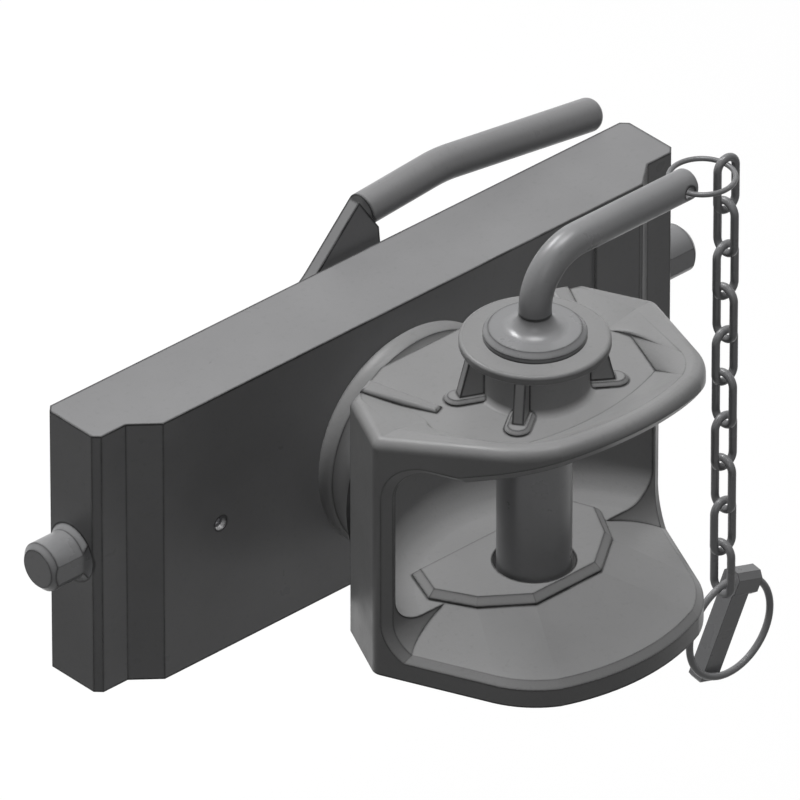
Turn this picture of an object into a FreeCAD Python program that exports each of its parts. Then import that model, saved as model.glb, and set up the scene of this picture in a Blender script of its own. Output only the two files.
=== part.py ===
"""Towing jaw hitch on a carriage that slides in a tractor's hitch ladder.

Frame: the origin is where the swivel axis of the jaw (along Y) crosses the axis of the two
locking pins (along X). -Y is the open side of the jaw, +Y the tractor, +Z up. Millimetres.
"""
import FreeCAD, Part
import math
import os
import Sketcher

Vector = FreeCAD.Vector
doc = FreeCAD.newDocument("TowingJawHitch")

# Driving sizes
SIZES = {
    # carriage block that runs between the two ladder rails
    "block_width": 330,
    "block_height": 128,
    "guide_thick": 32,
    "front_face": 26,
    "face_half_width": 136.5,
    "face_taper": 12,
    "corner_bevel": 3,
    # swivel bearing of the jaw
    "shaft_radius": 16,
    "bush_wall": 2.5,
    "bush_length": 12,
    "run_gap": 0.05,
    "press_gap": 0.02,
    "face_gap": 0.1,
    "washer_radius": 36,
    "washer_proud": 0.6,
    "recess_depth": 2,
    "boss_radius": 22,
    "boss_step": 2.5,
    "boss_step_length": 3.3,
    "boss_length": 13,
    # locking pins
    "lock_nose_radius": 11,
    "lock_body_radius": 13,
    "lock_gap": 0.08,
    "lock_reach": 19,
    "lock_shoulder": 2.5,
    "lock_bevel": 2.4,
    "lock_flat": 10.1,
    "lock_tail": 5.5,
    "peg_place": 48.5,
    "peg_radius": 3.5,
    "peg_gap": 0.15,
    "slot_gap": 0.5,
    "spring_bore": 7.5,
    "spring_bore_depth": 70,
    "spring_radius": 5.6,
    "spring_wire": 1.2,
    "spring_turns": 8,
    "bore_end_gap": 1,
    "screw_place": 104.5,
    "screw_radius": 3,
    "screw_gap": 0.3,
    "screw_sink": 2.5,
    "socket_radius": 1.8,
    # locking lever
    "lever_thick": 6,
    "lever_disc": 56,
    "lever_swing": 60,
    "lever_gap": 0.2,
    "arm_top_across": 15.6,
    "arm_top_height": 85.4,
    "arm_side_across": 26.7,
    "arm_side_height": 68.7,
    "arm_base_across": 28.6,
    "arm_base_height": 47.5,
    "arm_left_across": -8.9,
    "arm_left_height": 59.9,
    "arm_foot_across": -24,
    "arm_foot_height": 50,
    "arm_foot_round": 40,
    "rod_radius": 7.5,
    "rod_clear": 1,
    "rod_knee_across": 66,
    "rod_knee_below": 4.9,
    "rod_knee_round": 60,
    "rod_end_across": 156,
    "rod_end_below": 17.6,
    "rod_end_round": 5,
    "clip_thick": 1.8,
    "clip_groove": 2,
    "clip_radius": 26,
    "clip_opening": 6,
    "clip_past": 1.2,
    "stop_radius": 4.5,
    "stop_height": 51.9,
    "stop_gap": 0.3,
    "stop_depth": 12,
    "stop_reach": 4.5,
    # jaw casting, its places measured forward from the block's front face
    "flange_radius": 53,
    "flange_thick": 10,
    "flange_crown": 3,
    "flange_round": 1.5,
    "neck_radius": 46,
    "neck_place": 16,
    "neck_end_radius": 60,
    "neck_end": 29,
    "neck_hollow": 1.2,
    "neck_flare": 1.1,
    "back_half": 38,
    "back_place": 26,
    "hip_half": 66,
    "hip_place": 38,
    "wide_half": 80.5,
    "wide_place": 68.6,
    "shoulder_half": 58.5,
    "shoulder_place": 118.6,
    "shoulder_round": 46,
    "brow_half": 39.5,
    "brow_place": 139.05,
    "front_place": 147,
    "top_floor": 61,
    "rim_height": 64,
    "rim_slope": 0.18,
    "rim_round": 5,
    "wide_round": 6,
    "rim_inset": 8.5,
    "pan_back_reach": 20,
    "pan_back_half": 52,
    "pan_half": 51,
    "pan_wide": 56,
    "pan_wide_place": 78,
    "pan_front_half": 45,
    "pan_front_place": 105.5,
    "pan_front": 114,
    "pad_back_half": 56.5,
    "pad_front_half": 68,
    "rib_back_half": 55,
    "rib_back_place": 35,
    "rib_front_half": 42,
    "rib_front_place": 67,
    "rib_width": 9,
    "rib_tip_width": 5,
    "rib_tip_height": 1,
    "rib_rise": 1.5,
    "rib_round": 1.8,
    "rib_run_past": 6,
    "jaw_bottom": 52.8,
    "bowl_radius": 78.5,
    "bowl_centre": 101.5,
    "bowl_floor": 30,
    "bowl_round": 14,
    "bowl_top": 52,
    "bowl_top_round": 16,
    "mouth_place": 74.2,
    "mouth_edge": 3.2,
    "mouth_low_round": 18,
    "mouth_top_round": 17,
    "mouth_low": 41,
    "lip_start": 104,
    "lip_slope": 0.4,
    "ramp_floor_half": 18.6,
    "ramp_floor_front": 101.4,
    "ramp_side_half": 38.6,
    "ramp_side_place": 86.6,
    "ramp_back_half": 81.4,
    "ramp_back_place": 16.8,
    "pad_rise": 4,
    "pad_bevel": 3,
    "pad_tail_half": 42,
    "pad_tail_place": 50,
    "pad_wide_half": 49,
    "pad_wide_place": 68,
    # hitch pin and its seat
    "pin_place": 80,
    "pin_radius": 16,
    "pin_gap": 0.25,
    "pin_lower_gap": 1.5,
    "seat_radius": 23,
    "seat_foot_round": 3,
    "seat_plate_radius": 32,
    "seat_plate_base": 81.4,
    "seat_plate_round": 1.5,
    "seat_top": 86,
    "gusset_thick": 5,
    "gusset_reach": 34,
    "gusset_top_reach": 29,
    "gusset_root": 3,
    "gusset_toe": 1,
    "gusset_foot_half": 5.5,
    "gusset_foot_rise": 2.2,
    "gusset_foot_bevel": 1.4,
    "collar_radius": 21.95,
    "collar_thick": 4.5,
    "collar_bevel": 2.2,
    "trumpet_round": 7.15,
    "pin_end": 76,
    "pin_end_bevel": 3,
    "cross_hole_radius": 5.8,
    "cross_hole_height": 66,
    "handle_radius": 7,
    "handle_bend": 24,
    "handle_height": 124,
    "handle_length": 88,
    "handle_end_round": 3,
    # chain
    "ring_radius": 14.05,
    "ring_wire": 1.15,
    "ring_drop": 0.5,
    "ring_place": 95,
    "ring_hole_radius": 2.8,
    "ring_hole_inset": 6,
    "link_wire": 1.8,
    "link_length": 21.8,
    "link_width": 14,
    "link_gap": 0.3,
    # securing pin
    "linch_ring_radius": 23.4,
    "linch_wire": 1.6,
    "linch_offset": 4.5,
    "linch_gap": 0.3,
    "linch_lean": 16.8,
    "linch_tilt": 7.7,
    "linch_bar_width": 10,
    "linch_bar_depth": 8,
    "linch_bar_bevel": 1.2,
    "linch_bar_reach": 4,
    "linch_head_length": 14,
    "linch_head_depth": 10,
    "linch_head_height": 12,
    "linch_head_bevel": 2.5,
    "linch_stub": 4,
    # shaft end
    "thrust_thick": 3,
    "thrust_radius": 27,
    "disc_radius": 28,
    "disc_thick": 1.6,
    "disc_cone": 1.2,
    "shaft_washer_thick": 3,
    "shaft_washer_radius": 22,
    "shaft_seat": 17,
    "shaft_thread": 12,
    "shaft_end": 4,
    "nut_across": 38,
    "nut_height": 17,
    "nut_slot": 6,
    "nut_slot_depth": 7,
    "nut_crown_step": 1,
    "split_radius": 2,
    "split_gap": 0.4,
    "split_eye_radius": 3.2,
    "split_eye_wire": 1.4,
    "nipple_radius": 3,
    "nipple_neck": 1.5,
    "nipple_neck_drop": 2.1,
    "nipple_bead": 2.4,
    "nipple_bead_drop": 0.9,
    "nipple_tip": 1.2,
    "nipple_length": 9,
    "nipple_thread": 5,
    # how far a cutting shape runs past what it cuts, and an added one into what carries it
    "cut_past": 1,
    "sink": 1,
}

sheet = doc.addObject("Spreadsheet::Sheet", "Sizes")
for row, (alias, number) in enumerate(SIZES.items(), start=1):
    sheet.set("A%d" % row, alias)
    sheet.set("B%d" % row, str(number))
    sheet.setAlias("B%d" % row, alias)
doc.recompute()


class Size:
    """A number together with the expression that ties it to the sheet."""

    def __init__(self, value, text):
        self.value = float(value)
        self.text = text

    def __float__(self):
        return self.value

    def __add__(self, other):
        other = as_size(other)
        return Size(self.value + other.value, "(%s + %s)" % (self.text, other.text))

    def __sub__(self, other):
        other = as_size(other)
        return Size(self.value - other.value, "(%s - %s)" % (self.text, other.text))

    def __mul__(self, other):
        other = as_size(other)
        return Size(self.value * other.value, "%s * %s" % (self.text, other.text))

    def __truediv__(self, other):
        other = as_size(other)
        return Size(self.value / other.value, "%s / (%s)" % (self.text, other.text))

    def __radd__(self, other):
        return as_size(other) + self

    def __rsub__(self, other):
        return as_size(other) - self

    def __rmul__(self, other):
        return as_size(other) * self

    def __neg__(self):
        return Size(-self.value, "(0 - %s)" % self.text)


def as_size(thing):
    """The thing itself if it is a size, or a plain number made one."""
    if isinstance(thing, Size):
        return thing
    return Size(thing, "(%.9f)" % thing)


def size(alias):
    """One cell of the sheet."""
    return Size(sheet.get(alias), "Sizes." + alias)


def root(thing):
    """Square root of a size."""
    return Size(math.sqrt(thing.value), "sqrt(%s)" % thing.text)


def bind(thing, **sizes):
    """Tie properties of a feature to sizes."""
    for name, value in sizes.items():
        thing.setExpression(name, as_size(value).text)


ROTATIONS = {
    "XY": FreeCAD.Rotation(),
    "XZ": FreeCAD.Rotation(Vector(1, 0, 0), 90),
    "YZ": FreeCAD.Rotation(Vector(1, 1, 1), 120),
}


def draw(home, plane, loops, level=0):
    """A sketch of closed loops on a principal plane of a body, or of the document.

    A loop is either a circle (u, v, radius) or a list of corners. A corner is (u, v), or
    (u, v, radius) when the side that arrives at it is an arc, whose centre lies to the left of
    the way for a radius above zero and to the right for one below zero.
    """
    if home is doc:
        sketch = doc.addObject("Sketcher::SketchObject", "Sketch")
        sketch.Placement = FreeCAD.Placement(Vector(), ROTATIONS[plane])
        axis = {"XY": "z", "XZ": "y", "YZ": "x"}[plane]
        sketch.setExpression("Placement.Base." + axis, as_size(level).text)
    else:
        sketch = home.newObject("Sketcher::SketchObject", "Sketch")
        base = [part for part in home.Origin.OriginFeatures if part.Role == plane + "_Plane"][0]
        sketch.AttachmentSupport = [(base, "")]
        sketch.MapMode = "FlatFace"
        # the sketch's own Z runs along -Y on the XZ plane
        depth = -as_size(level) if plane == "XZ" else as_size(level)
        sketch.setExpression("AttachmentOffset.Base.z", depth.text)
    for loop in loops:
        if isinstance(loop, tuple):
            add_circle(sketch, *loop)
        else:
            add_outline(sketch, loop)
    return sketch


def pin_point(sketch, index, which, u, v):
    """Hold one point of a sketch at (u, v)."""
    for kind, value in (("DistanceX", as_size(u)), ("DistanceY", as_size(v))):
        number = sketch.addConstraint(Sketcher.Constraint(kind, -1, 1, index, which, value.value))
        sketch.setExpression("Constraints[%d]" % number, value.text)


def add_circle(sketch, u, v, radius):
    """A circle held by its centre and radius."""
    centre = Vector(float(u), float(v), 0)
    index = sketch.addGeometry(Part.Circle(centre, Vector(0, 0, 1), float(radius)), False)
    pin_point(sketch, index, 3, u, v)
    number = sketch.addConstraint(Sketcher.Constraint("Radius", index, float(radius)))
    sketch.setExpression("Constraints[%d]" % number, as_size(radius).text)


def arc_between(start, end, radius):
    """The short arc from start to end, with its centre to the left for a radius above zero."""
    chord = end - start
    half = chord.Length / 2
    reach = math.sqrt(max(radius * radius - half * half, 0.0))
    left = Vector(-chord.y, chord.x, 0)
    left.normalize()
    centre = start + chord * 0.5 + left * math.copysign(reach, radius)
    # a sketch counts the angles of an arc anticlockwise
    first, last = (start, end) if radius > 0 else (end, start)
    from_angle = math.atan2(first.y - centre.y, first.x - centre.x)
    to_angle = math.atan2(last.y - centre.y, last.x - centre.x)
    if to_angle <= from_angle:
        to_angle += 2 * math.pi
    return Part.ArcOfCircle(Part.Circle(centre, Vector(0, 0, 1), abs(radius)), from_angle, to_angle)


def add_outline(sketch, corners):
    """A closed outline of lines and arcs, held at each corner."""
    points = [Vector(float(corner[0]), float(corner[1]), 0) for corner in corners]
    count = len(corners)
    ends = []
    for number in range(count):
        start = points[number]
        end = points[(number + 1) % count]
        arrival = corners[(number + 1) % count]
        if len(arrival) == 2:
            index = sketch.addGeometry(Part.LineSegment(start, end), False)
            ends.append((index, 1, 2))
            continue
        radius = as_size(arrival[2])
        arc = arc_between(start, end, radius.value)
        index = sketch.addGeometry(arc, False)
        ends.append((index, 1, 2) if radius.value > 0 else (index, 2, 1))
        if abs(start.distanceToPoint(end) / 2 - abs(radius.value)) < 1e-6:
            # a half circle is held by its centre, level with its two ends
            kind = "DistanceX" if abs(start.x - end.x) < 1e-6 else "DistanceY"
            level = as_size(arrival[0] if kind == "DistanceX" else arrival[1])
            rule = sketch.addConstraint(Sketcher.Constraint(kind, -1, 1, index, 3, level.value))
            sketch.setExpression("Constraints[%d]" % rule, level.text)
            continue
        rule = sketch.addConstraint(Sketcher.Constraint("Radius", index, abs(radius.value)))
        sketch.setExpression("Constraints[%d]" % rule, "abs(%s)" % radius.text)
    for number in range(count):
        here = ends[number]
        after = ends[(number + 1) % count]
        sketch.addConstraint(Sketcher.Constraint("Coincident", here[0], here[2], after[0], after[1]))
        pin_point(sketch, here[0], here[1], corners[number][0], corners[number][1])


def new_body(label):
    """An empty body."""
    body = doc.addObject("PartDesign::Body", label)
    body.Label = label
    return body


def part_feature(body, kind, sketch, length=None, **settings):
    """A sketch-based feature of a body."""
    feature = body.newObject("PartDesign::" + kind, kind)
    feature.Profile = sketch
    if length is not None:
        bind(feature, Length=length)
    for name, value in settings.items():
        setattr(feature, name, value)
    return feature


def add(kind, label, **sizes):
    """A Part primitive with its sizes tied to the sheet."""
    thing = doc.addObject("Part::" + kind, label)
    thing.Label = label
    bind(thing, **sizes)
    return thing


def place(thing, x=0, y=0, z=0, turn=None):
    """Put a primitive somewhere; turn is (axis, degrees)."""
    rotation = FreeCAD.Rotation(Vector(*turn[0]), turn[1]) if turn else FreeCAD.Rotation()
    thing.Placement = FreeCAD.Placement(Vector(float(x), float(y), float(z)), rotation)
    for name, value in (("x", x), ("y", y), ("z", z)):
        thing.setExpression("Placement.Base." + name, as_size(value).text)
    return thing


def prism(label, plane, loops, low, high):
    """Outline loops carried straight from low to high across their plane."""
    low = as_size(low)
    high = as_size(high)
    thing = doc.addObject("Part::Extrusion", label)
    thing.Label = label
    thing.Base = draw(doc, plane, loops, low)
    thing.DirMode = "Custom"
    thing.Dir = {"XY": Vector(0, 0, 1), "XZ": Vector(0, 1, 0), "YZ": Vector(1, 0, 0)}[plane]
    thing.Solid = True
    bind(thing, LengthFwd=high - low)
    return thing


def turned(label, plane, corners, axis, base=(0, 0, 0)):
    """A profile turned once round an axis."""
    thing = doc.addObject("Part::Revolution", label)
    thing.Label = label
    thing.Source = draw(doc, plane, [corners])
    thing.Axis = Vector(*axis)
    thing.Base = Vector(*[float(value) for value in base])
    for name, value in zip("xyz", base):
        thing.setExpression("Base." + name, as_size(value).text)
    thing.Angle = 360
    thing.Solid = True
    return thing


def cut(label, base, *tools):
    """Take tools away from a base, one at a time."""
    for tool in tools:
        result = doc.addObject("Part::Cut", label)
        result.Base = base
        result.Tool = tool
        base = result
    base.Label = label
    return base


def fuse(label, *shapes):
    """Join shapes into one."""
    result = doc.addObject("Part::MultiFuse", label)
    result.Shapes = list(shapes)
    result.Refine = True
    result.Label = label
    return result


def common(label, first, second):
    """What two shapes share."""
    result = doc.addObject("Part::Common", label)
    result.Base = first
    result.Tool = second
    result.Label = label
    return result


# how far off a face a sampled point may lie and still count as on it
near = 0.01


def edges_where(thing, test):
    """Numbers of the edges of a feature whose sampled points all pass a test."""
    doc.recompute()
    found = []
    for number, edge in enumerate(thing.Shape.Edges, start=1):
        points = edge.discretize(5)
        if all(test(point) for point in points):
            found.append(number)
    if not found:
        raise RuntimeError("no edge found on " + thing.Label)
    return found


def rounded(label, base, radius, test, kind="Fillet"):
    """Round, or with kind Chamfer bevel, the chosen edges of a feature."""
    value = float(radius)
    result = doc.addObject("Part::" + kind, label)
    result.Base = base
    result.Edges = [(number, value, value) for number in edges_where(base, test)]
    result.Label = label
    return result


nodes = []


def keep(thing, label):
    """Name a finished sub-part and remember to write it."""
    thing.Label = label
    nodes.append(thing)
    return thing


S = {alias: size(alias) for alias in SIZES}


# Places that several pieces share
guide_half = S["guide_thick"] / 2
end_face = S["block_width"] / 2
front = -S["front_face"]
bush_radius = S["shaft_radius"] + S["bush_wall"]
recess_floor = front + S["recess_depth"]
step_end = guide_half + S["boss_step_length"]
boss_end = guide_half + S["boss_length"]
lever_near = step_end + S["lever_gap"]
lever_far = lever_near + S["lever_thick"]
clip_near = lever_far + S["face_gap"]
clip_far = clip_near + S["clip_thick"]
clip_inner = S["boss_radius"] - S["clip_groove"]
lock_bore = S["lock_body_radius"] + S["lock_gap"]
tail_end = S["peg_place"] - S["lock_tail"]
lock_bore_end = tail_end - S["lock_reach"] - S["bore_end_gap"]
peg_inner_place = S["peg_place"] - S["lock_reach"]
jaw_back = front - S["washer_proud"] - S["face_gap"]
pin_y = front - S["pin_place"]
thrust_near = boss_end + S["face_gap"]
thrust_far = thrust_near + S["thrust_thick"]
disc_far = thrust_far + (S["disc_thick"] + S["disc_cone"]) * 2
washer_far = disc_far + S["shaft_washer_thick"]
nut_far = washer_far + S["nut_height"]
shaft_far = nut_far + S["shaft_end"]
stop_across = S["arm_base_across"] + S["stop_radius"] + S["stop_gap"]
ring_hinge = S["handle_length"] - S["ring_hole_inset"]
ring_height = S["handle_height"] - S["ring_drop"]
chain_x = S["ring_place"] + S["ring_radius"]
link_half = (S["link_width"] - S["link_wire"] * 2) / 2
link_pitch = S["link_length"] - S["link_gap"]
link_count = 10
first_top = ring_height + S["ring_wire"] + S["link_wire"] + S["link_gap"]
last_bottom = first_top - link_pitch * (link_count - 1) - S["link_length"] - S["link_wire"] * 2
linch_x = chain_x + S["linch_offset"]
gusset_angles = (25, 155, 215, 325)
sides = (("left", -1), ("right", 1))


def ahead(distance):
    """Y of a place this far in front of the block's front face."""
    return front - distance


def make_carriage_block():
    """Sliding block: plan with thin guides at both ends, bores, slots and the rear boss."""
    body = new_body("carriage_block")
    bevel = S["corner_bevel"]
    face = S["face_half_width"]
    step = face + S["face_taper"]
    half = [
        (face, front),
        (step, -guide_half),
        (end_face - bevel, -guide_half),
        (end_face, -guide_half + bevel),
        (end_face, guide_half - bevel),
        (end_face - bevel, guide_half),
    ]
    plan = half + [(-u, v) for u, v in reversed(half)]
    part_feature(body, "Pad", draw(body, "XY", [plan]), S["block_height"], Midplane=True)
    step_circle = (0, 0, S["boss_radius"] + S["boss_step"])
    step_sketch = draw(body, "XZ", [step_circle], guide_half)
    part_feature(body, "Pad", step_sketch, S["boss_step_length"], Reversed=True)
    boss = draw(body, "XZ", [(0, 0, S["boss_radius"])], guide_half)
    part_feature(body, "Pad", boss, S["boss_length"], Reversed=True)
    shaft_bore = draw(body, "XZ", [(0, 0, bush_radius)], boss_end)
    part_feature(body, "Pocket", shaft_bore, boss_end - front, Reversed=True)
    washer_seat = draw(body, "XZ", [(0, 0, S["washer_radius"] + S["face_gap"])], front)
    part_feature(body, "Pocket", washer_seat, S["recess_depth"])
    outer = S["boss_radius"] + S["cut_past"]
    groove_section = [
        (clip_inner, clip_near),
        (outer, clip_near),
        (outer, clip_far),
        (clip_inner, clip_far),
    ]
    section = draw(body, "XY", [groove_section])
    groove = body.newObject("PartDesign::Groove", "ClipGroove")
    groove.Profile = section
    groove.ReferenceAxis = (section, ["V_Axis"])
    groove.Angle = 360
    reach = S["peg_radius"] + S["slot_gap"]
    for name, side in sides:
        bore = draw(body, "YZ", [(0, 0, lock_bore)], end_face * side)
        part_feature(body, "Pocket", bore, end_face - lock_bore_end, Reversed=side < 0)
        slot = [
            (peg_inner_place * side, -reach, reach * side),
            (S["peg_place"] * side, -reach),
            (S["peg_place"] * side, reach, reach * side),
            (peg_inner_place * side, reach),
        ]
        part_feature(body, "Pocket", draw(body, "XZ", [slot], guide_half), guide_half, Reversed=True)
        screw = (S["screw_place"] * side, 0, S["screw_radius"] + S["screw_gap"])
        part_feature(body, "Pocket", draw(body, "XZ", [screw], front), S["front_face"])
    stop = (stop_across, S["stop_height"], S["stop_radius"] + S["press_gap"])
    stop_sketch = draw(body, "XZ", [stop], guide_half)
    part_feature(body, "Pocket", stop_sketch, S["stop_depth"], Reversed=True)
    return keep(body, "carriage_block")


def make_bearing_parts():
    """Two bushes, the front thrust washer, the lever's stop pin and its retaining clip."""
    inner = S["shaft_radius"] + S["run_gap"]
    outer = bush_radius - S["press_gap"]
    ring = [(0, 0, outer), (0, 0, inner)]
    keep(prism("Bush", "XZ", ring, recess_floor, recess_floor + S["bush_length"]), "front_bush")
    keep(prism("Bush", "XZ", ring, boss_end - S["bush_length"], boss_end), "rear_bush")
    washer = [(0, 0, S["washer_radius"]), (0, 0, S["shaft_radius"] + S["slot_gap"])]
    keep(prism("Washer", "XZ", washer, front - S["washer_proud"], recess_floor), "thrust_washer")
    stop = [(stop_across, S["stop_height"], S["stop_radius"])]
    start = guide_half - S["stop_depth"] + S["face_gap"]
    keep(prism("Stop", "XZ", stop, start, lever_near + S["stop_reach"]), "lever_stop_pin")
    gap = S["clip_opening"]
    ring = prism("ClipRing", "XZ", [(0, 0, S["clip_radius"]), (0, 0, clip_inner + S["face_gap"])],
                 clip_near + S["press_gap"], clip_far - S["press_gap"])
    low = -S["clip_radius"] * S["clip_past"]
    opening = prism("ClipOpening", "XZ", [[
        (-gap, 0),
        (gap, 0),
        (gap * 2, low),
        (-gap * 2, low),
    ]], clip_near - S["cut_past"], clip_far + S["cut_past"])
    keep(cut("Clip", ring, opening), "lever_retaining_ring")
    for name, side in sides:
        circle = [(S["screw_place"] * side, 0, S["screw_radius"])]
        shank = prism("Screw", "XZ", circle, front + S["screw_sink"], -S["lock_flat"] - S["face_gap"])
        socket = add("Prism", "Socket", Circumradius=S["socket_radius"], Height=S["screw_sink"])
        socket.Polygon = 6
        place(socket, S["screw_place"] * side, front + S["screw_sink"] * 2, 0, ((1, 0, 0), 90))
        keep(cut("GuideScrew", shank, socket), "guide_screw_" + name)


def make_locking_pins():
    """Pins with a guiding flat, a spring bore from the inner end and a peg for the cam slots."""
    for name, side in sides:
        body = new_body("lock_pin_" + name)
        nose_start = end_face + S["lock_shoulder"]
        tip = end_face + S["lock_reach"]
        nose = S["lock_nose_radius"]
        bevel = S["lock_bevel"]
        profile = [
            (tail_end * side, 0),
            (tip * side, 0),
            (tip * side, nose - bevel),
            ((tip - bevel) * side, nose),
            (nose_start * side, nose),
            (end_face * side, S["lock_body_radius"]),
            (tail_end * side, S["lock_body_radius"]),
        ]
        section = draw(body, "XY", [profile])
        turn = body.newObject("PartDesign::Revolution", "Turn")
        turn.Profile = section
        turn.ReferenceAxis = (section, ["H_Axis"])
        turn.Angle = 360
        bore = draw(body, "YZ", [(0, 0, S["spring_bore"])], tail_end * side)
        part_feature(body, "Pocket", bore, S["spring_bore_depth"], Reversed=side > 0)
        wide = S["lock_body_radius"] + S["cut_past"]
        flat = [
            (tail_end * side, -S["lock_flat"]),
            (tip * side, -S["lock_flat"]),
            (tip * side, -wide),
            (tail_end * side, -wide),
        ]
        flat_sketch = draw(body, "XY", [flat])
        part_feature(body, "Pocket", flat_sketch, S["lock_body_radius"] * 2, Midplane=True)
        hole = (S["peg_place"] * side, 0, S["peg_radius"] + S["press_gap"])
        hole_sketch = draw(body, "XZ", [hole], S["lock_body_radius"])
        part_feature(body, "Pocket", hole_sketch, S["lock_body_radius"], Reversed=True)
        keep(body, "lock_pin_" + name)
        peg = [(S["peg_place"] * side, 0, S["peg_radius"])]
        keep(prism("Peg", "XZ", peg, S["spring_bore"] + S["slot_gap"], lever_far - S["lever_gap"]),
             "peg_" + name)


def make_pin_springs():
    """Round-wire coils between each bore's bottom and the bottom of the bore in the pin."""
    first = lock_bore_end + S["spring_wire"] + S["face_gap"]
    last = tail_end + S["spring_bore_depth"] - S["spring_wire"] - S["face_gap"]
    length = last - first
    for name, side in sides:
        coil = doc.addObject("Part::Helix", "Coil")
        bind(coil, Radius=S["spring_radius"], Height=length, Pitch=length / S["spring_turns"])
        wire = add("Circle", "Wire", Radius=S["spring_wire"])
        place(wire, S["spring_radius"], 0, 0, ((1, 0, 0), 90))
        sweep = doc.addObject("Part::Sweep", "Spring")
        sweep.Sections = [wire]
        sweep.Spine = (coil, [])
        sweep.Solid = True
        sweep.Frenet = True
        place(sweep, first * side, 0, 0, ((0, 1, 0), 90 * side))
        keep(sweep, "pin_spring_" + name)


# points along each side of a spiral slot, and the share of it over which its heading is taken
slot_steps = 8
slot_nudge = 0.001


def spiral_slot(label, half_width, start_angle):
    """A slot along a spiral that runs inwards at a steady rate over the lever's swing."""
    swing = S["lever_swing"].value
    outer = S["peg_place"].value
    run = S["lock_reach"].value
    half = float(half_width)

    def middle(share):
        angle = math.radians(start_angle - swing * share)
        radius = outer - run * share
        return Vector(radius * math.cos(angle), 0, radius * math.sin(angle))

    def heading(share):
        way = middle(share + slot_nudge) - middle(share - slot_nudge)
        return way.normalize()

    def edge(side):
        shares = [step / slot_steps for step in range(slot_steps + 1)]
        return [middle(share) + heading(share).cross(Vector(0, 1, 0)) * half * side for share in shares]

    one = edge(1)
    other = edge(-1)
    first_side = Part.BSplineCurve()
    first_side.interpolate(one)
    second_side = Part.BSplineCurve()
    second_side.interpolate(list(reversed(other)))
    inner_end = Part.Arc(one[-1], middle(1) + heading(1) * half, other[-1])
    outer_end = Part.Arc(other[0], middle(0) - heading(0) * half, one[0])
    edges = [first_side.toShape(), inner_end.toShape(), second_side.toShape(), outer_end.toShape()]
    face = Part.Face(Part.Wire(edges))
    thing = doc.addObject("Part::Feature", label)
    thing.Shape = face.extrude(Vector(0, (S["lever_thick"] + S["cut_past"] * 2).value, 0))
    return place(thing, 0, lever_near - S["cut_past"], 0)


def make_lever():
    """Cam disc with its arm and spiral slots, and the bent hand rod welded to the arm."""
    disc = prism("Disc", "XZ", [(0, 0, S["lever_disc"])], lever_near, lever_far)
    arm_outline = [
        (0, 0),
        (S["arm_base_across"], S["arm_base_height"]),
        (S["arm_side_across"], S["arm_side_height"]),
        (S["arm_top_across"], S["arm_top_height"]),
        (S["arm_left_across"], S["arm_left_height"]),
        (S["arm_foot_across"], S["arm_foot_height"], -S["arm_foot_round"]),
    ]
    arm = prism("Arm", "XZ", [arm_outline], lever_near, lever_far)
    blank = fuse("LeverBlank", disc, arm)
    bore = prism("Bore", "XZ", [(0, 0, S["boss_radius"] + S["run_gap"])],
                 lever_near - S["cut_past"], lever_far + S["cut_past"])
    half = S["peg_radius"] + S["peg_gap"]
    slots = [spiral_slot("Slot", half, angle) for angle in (0, 180)]
    keep(cut("Lever", blank, bore, *slots), "lever_plate")

    rod_y = guide_half + S["rod_clear"] + S["rod_radius"]
    start_x = (S["arm_side_across"] + S["arm_top_across"]) / 2
    start_z = (S["arm_side_height"] + S["arm_top_height"]) / 2
    start = Vector(start_x.value, rod_y.value, start_z.value)
    knee_z = S["arm_top_height"] - S["rod_knee_below"]
    end_z = S["arm_top_height"] - S["rod_end_below"]
    knee = Vector(S["rod_knee_across"].value, rod_y.value, knee_z.value)
    end = Vector(S["rod_end_across"].value, rod_y.value, end_z.value)
    rod = doc.addObject("Part::Feature", "RodBlank")
    rod.Shape = bent_bar([start, knee, end], S["rod_knee_round"].value, S["rod_radius"].value)
    place(rod)
    bevel = prism("WeldFace", "XZ", [[
        (S["arm_side_across"], S["arm_side_height"]),
        (S["arm_side_across"] * 2 - S["arm_top_across"], S["arm_side_height"] * 2 - S["arm_top_height"]),
        (-S["arm_side_across"], S["arm_side_height"]),
        (S["arm_top_across"] * 2 - S["arm_side_across"], S["arm_top_height"] * 2 - S["arm_side_height"]),
        (S["arm_top_across"], S["arm_top_height"]),
    ]], rod_y - S["rod_radius"] - S["cut_past"], rod_y + S["rod_radius"] + S["cut_past"])
    trimmed = cut("RodTrimmed", rod, bevel)
    limit = end.x - S["rod_end_round"].value / 2
    keep(rounded("Rod", trimmed, S["rod_end_round"], lambda p: p.x > limit), "lever_rod")


def bent_bar(points, bend, radius):
    """A round bar along straight runs joined by arcs of one radius."""
    edges = []
    here = points[0]
    for before, corner, after in zip(points, points[1:], points[2:]):
        arriving = (corner - before).normalize()
        leaving = (after - corner).normalize()
        turn = arriving.getAngle(leaving)
        cut_back = bend * math.tan(turn / 2)
        arc_start = corner - arriving * cut_back
        arc_end = corner + leaving * cut_back
        inward = (leaving - arriving).normalize()
        depth = bend / math.cos(turn / 2) - bend
        edges.append(Part.LineSegment(here, arc_start).toShape())
        edges.append(Part.Arc(arc_start, corner + inward * depth, arc_end).toShape())
        here = arc_end
    edges.append(Part.LineSegment(here, points[-1]).toShape())
    path = Part.Wire(edges)
    across = (points[1] - points[0]).normalize()
    section = Part.Wire([Part.Circle(points[0], across, radius).toShape()])
    return path.makePipeShell([section], True, False)


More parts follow.
